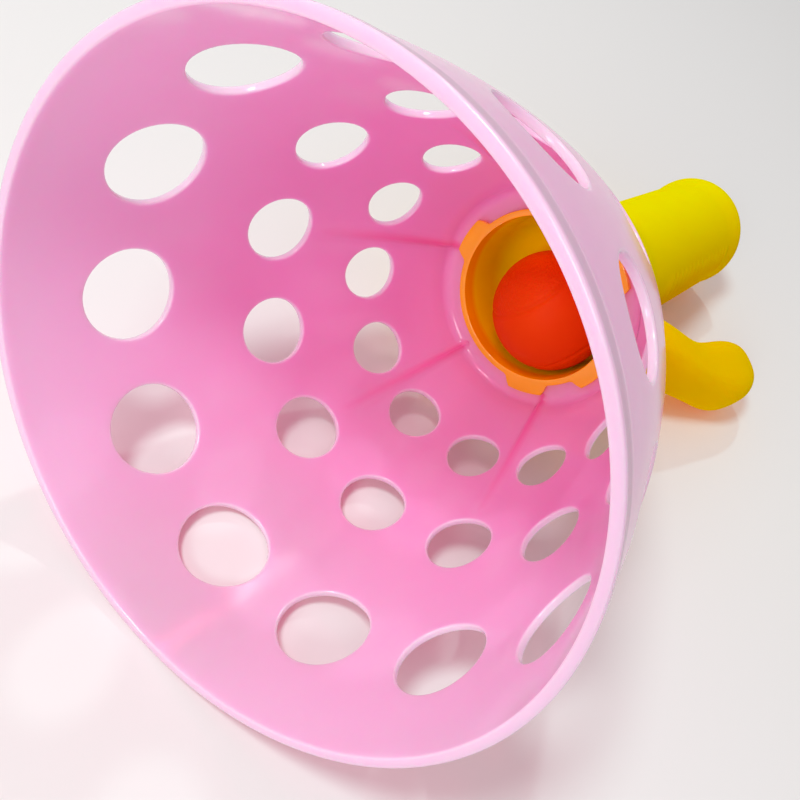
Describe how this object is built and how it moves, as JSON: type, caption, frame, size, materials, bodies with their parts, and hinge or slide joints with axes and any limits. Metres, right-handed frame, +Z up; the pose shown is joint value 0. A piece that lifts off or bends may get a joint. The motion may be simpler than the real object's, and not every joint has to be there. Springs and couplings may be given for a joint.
{
  "type": "throw and catch ball toy",
  "caption": "Hand-held toy: a perforated bell-shaped basket on a hollow handle, whose squeezed trigger kicks a ball out of a cup in the basket's floor.",
  "frame": {"origin": "centre of the bounding box at the level of the surface that the toy lies on", "axes": "+Z is up as the toy lies on its side, +X runs from the basket's mouth to the end of the handle, +Y is to the left of that. The mouth faces -X, tilted up by 11.8 degrees, and the trigger is on the -Y side."},
  "size_m": [0.3174, 0.1678, 0.1649],
  "materials": {
    "pink_plastic": "glossy moulded polypropylene, slightly translucent",
    "orange_plastic": "glossy moulded plastic, translucent",
    "yellow_plastic": "moulded plastic with a soft gloss",
    "white_plastic": "plain moulded plastic inside the handle",
    "ball_rubber": "pebbled soft vinyl",
    "steel": "zinc plated"
  },
  "bodies": {
    "toy": {"basket": "pink_plastic", "launch_cup": "orange_plastic", "handle_left": "yellow_plastic", "handle_right": "yellow_plastic", "trigger_pin": "steel", "plunger_spring": "steel", "handle_screw_1": "steel", "handle_screw_2": "steel", "handle_screw_3": "steel", "handle_screw_4": "steel", "handle_screw_5": "steel", "handle_screw_6": "steel"},
    "trigger": {"trigger": "yellow_plastic"},
    "plunger": {"plunger_rod": "white_plastic", "plunger_head": "orange_plastic", "spring_washer": "steel", "plunger_screw": "steel"},
    "ball": {"ball": "ball_rubber"}
  },
  "joints": [
    {"name": "trigger_squeeze", "type": "hinge", "parent": "toy", "child": "trigger", "pos_m": [0.04532, -0.01416, 0.03882], "axis": [0.1926, -0.33, 0.9241], "range_deg": [0, 20], "stiffness_Nm_per_rad": 0.46, "springref_deg": -28.65},
    {"name": "plunger_kick", "type": "slide", "parent": "toy", "child": "plunger", "axis": [-0.979, 0, 0.204], "range_m": [0, 0.0072], "deforming": ["plunger_spring"]},
    {"name": "ball_flight", "type": "slide", "parent": "plunger", "child": "ball", "axis": [-0.979, 0, 0.204], "range_m": [0, 0.16]}
  ],
  "couplings": [
    {"joint": "plunger_kick", "follows": "trigger_squeeze", "m_per_rad": 0.0205}
  ]
}
